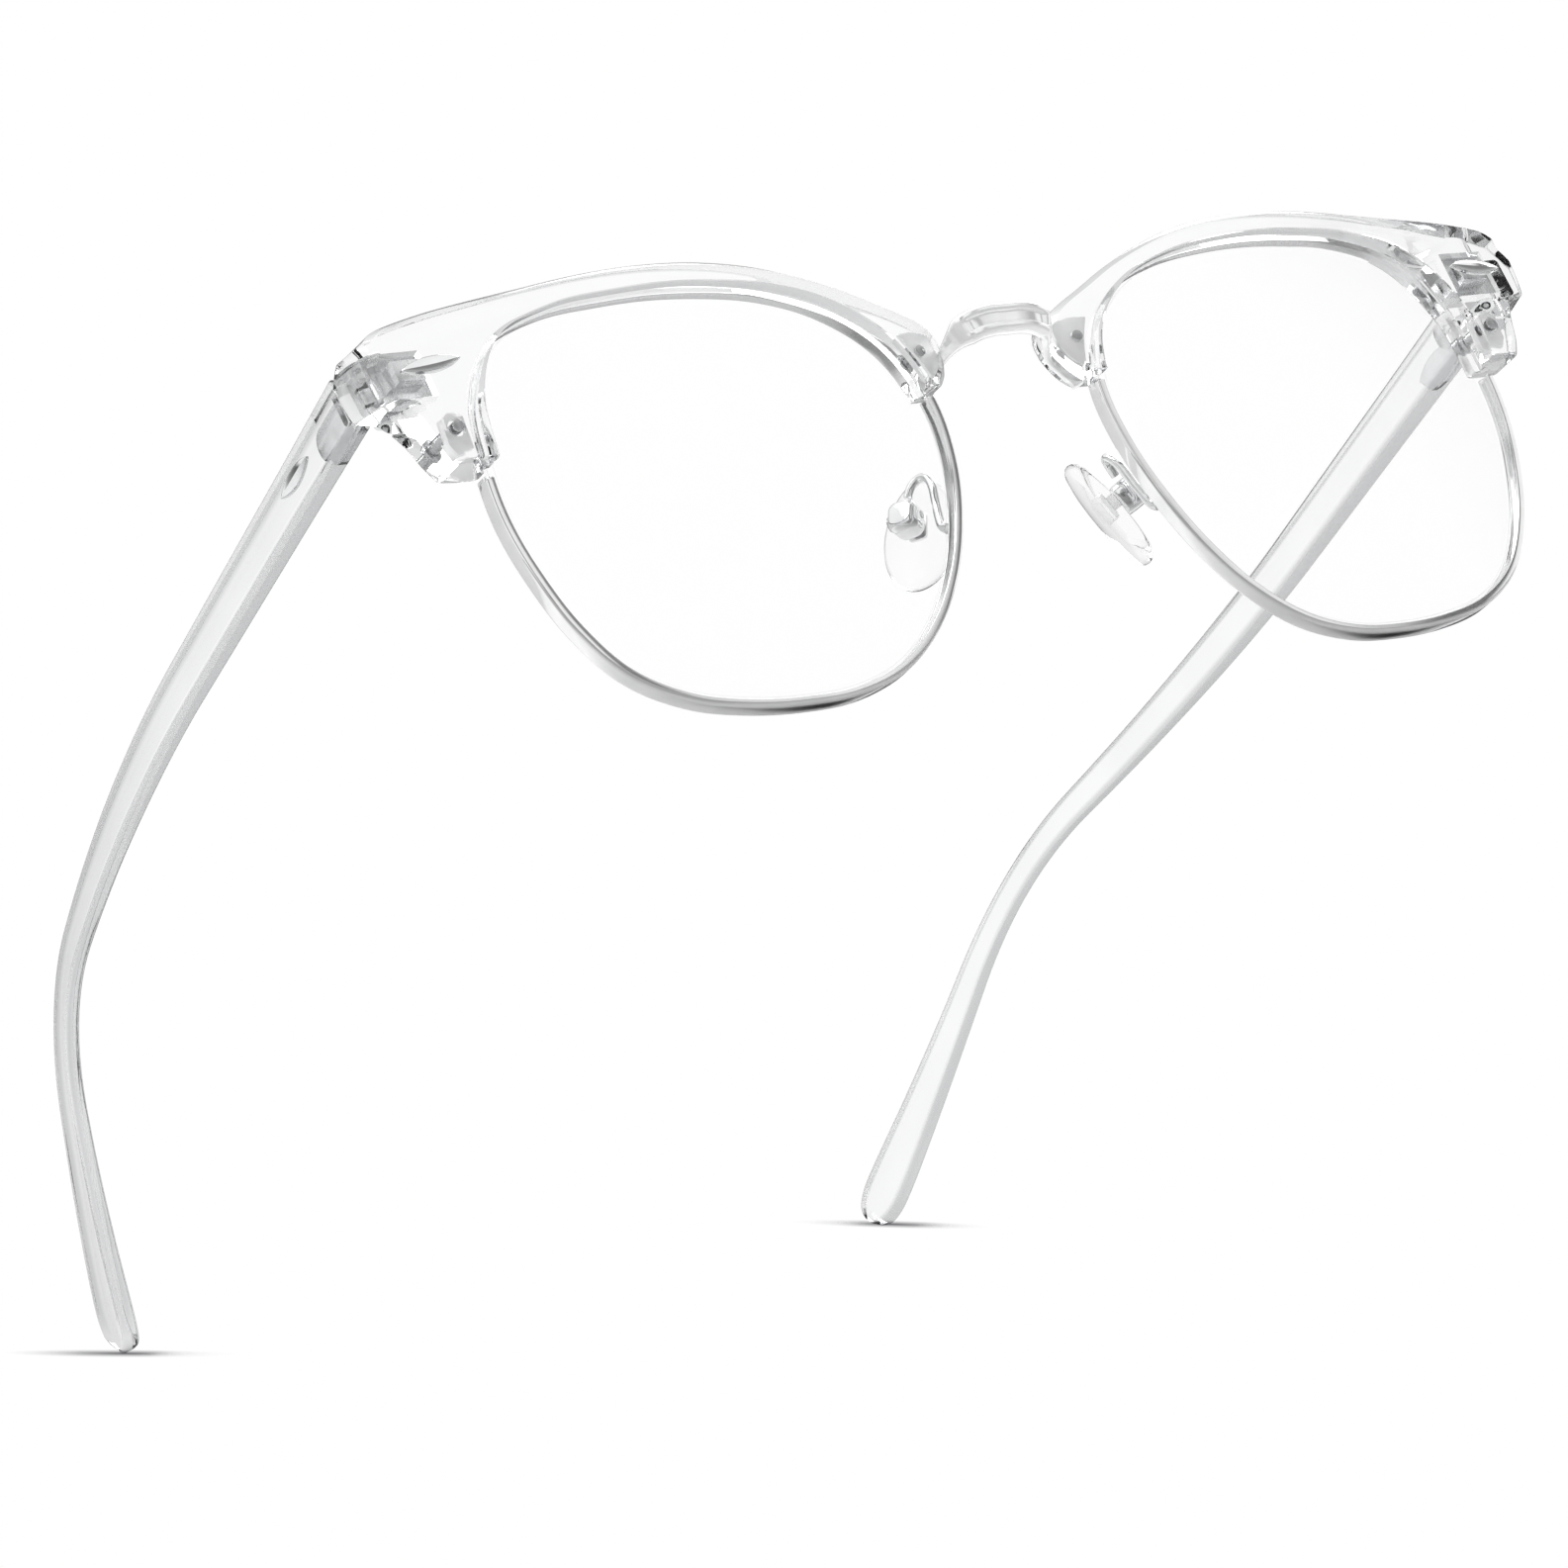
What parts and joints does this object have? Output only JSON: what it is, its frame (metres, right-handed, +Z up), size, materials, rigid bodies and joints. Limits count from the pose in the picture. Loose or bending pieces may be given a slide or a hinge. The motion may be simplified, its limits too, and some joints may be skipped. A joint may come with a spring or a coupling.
{
  "type": "half rim eyeglasses",
  "caption": "Half rim eyeglasses: clear browline front over clear lenses, polished metal half rims and bridge, rocking nose pads and folding clear temples.",
  "frame": {"origin": "on the surface the open glasses stand on, under the middle of their bounding box", "axes": "+X to the wearer's left, -Y out of the front of the lenses, temples run back along +Y, +Z up"},
  "size_m": [0.1414, 0.1452, 0.0478],
  "materials": {
    "clear_acetate": "polished crystal clear",
    "temple_acetate": "polished crystal clear",
    "lens_plastic": "optical polish",
    "pad_silicone": "clear, slightly satin",
    "polished_metal": "mirror polished",
    "satin_metal": "satin",
    "hinge_metal": "fine machined",
    "screw_steel": "turned, slotted head"
  },
  "bodies": {
    "front": {"bridge": "polished_metal", "left_brow": "clear_acetate", "left_lens": "lens_plastic", "left_rim": "polished_metal", "left_nasal_plate": "satin_metal", "left_plate_screw": "screw_steel", "left_temporal_tab": "satin_metal", "left_tab_screw": "screw_steel", "left_pad_arm": "polished_metal", "left_pad_box": "polished_metal", "left_pad_screw": "screw_steel", "left_hinge_front_leaf": "hinge_metal", "left_hinge_screw": "screw_steel", "left_brow_rivet": "polished_metal", "right_brow": "clear_acetate", "right_lens": "lens_plastic", "right_rim": "polished_metal", "right_nasal_plate": "satin_metal", "right_plate_screw": "screw_steel", "right_temporal_tab": "satin_metal", "right_tab_screw": "screw_steel", "right_pad_arm": "polished_metal", "right_pad_box": "polished_metal", "right_pad_screw": "screw_steel", "right_hinge_front_leaf": "hinge_metal", "right_hinge_screw": "screw_steel", "right_brow_rivet": "polished_metal"},
    "left_temple_arm": {"left_temple": "temple_acetate", "left_hinge_temple_leaf": "hinge_metal", "left_temple_rivet": "polished_metal"},
    "left_pad": {"left_nose_pad": "pad_silicone", "left_pad_insert": "satin_metal"},
    "right_temple_arm": {"right_temple": "temple_acetate", "right_hinge_temple_leaf": "hinge_metal", "right_temple_rivet": "polished_metal"},
    "right_pad": {"right_nose_pad": "pad_silicone", "right_pad_insert": "satin_metal"}
  },
  "joints": [
    {"name": "left_temple_fold", "type": "hinge", "parent": "front", "child": "left_temple_arm", "pos_m": [0.0659, -0.06102, 0.03986], "axis": [0, 0.1222, 0.9925], "range_deg": [0, 77]},
    {"name": "right_temple_fold", "type": "hinge", "parent": "front", "child": "right_temple_arm", "pos_m": [-0.0659, -0.06102, 0.03986], "axis": [0, -0.1222, -0.9925], "range_deg": [0, 83.5]},
    {"name": "left_pad_rock", "type": "hinge", "parent": "front", "child": "left_pad", "pos_m": [0.01298, -0.06189, 0.02085], "axis": [0.472, 0.855, 0.215], "range_deg": [-12, 12]},
    {"name": "right_pad_rock", "type": "hinge", "parent": "front", "child": "right_pad", "pos_m": [-0.01298, -0.06189, 0.02085], "axis": [0.472, -0.855, -0.215], "range_deg": [-12, 12]}
  ]
}
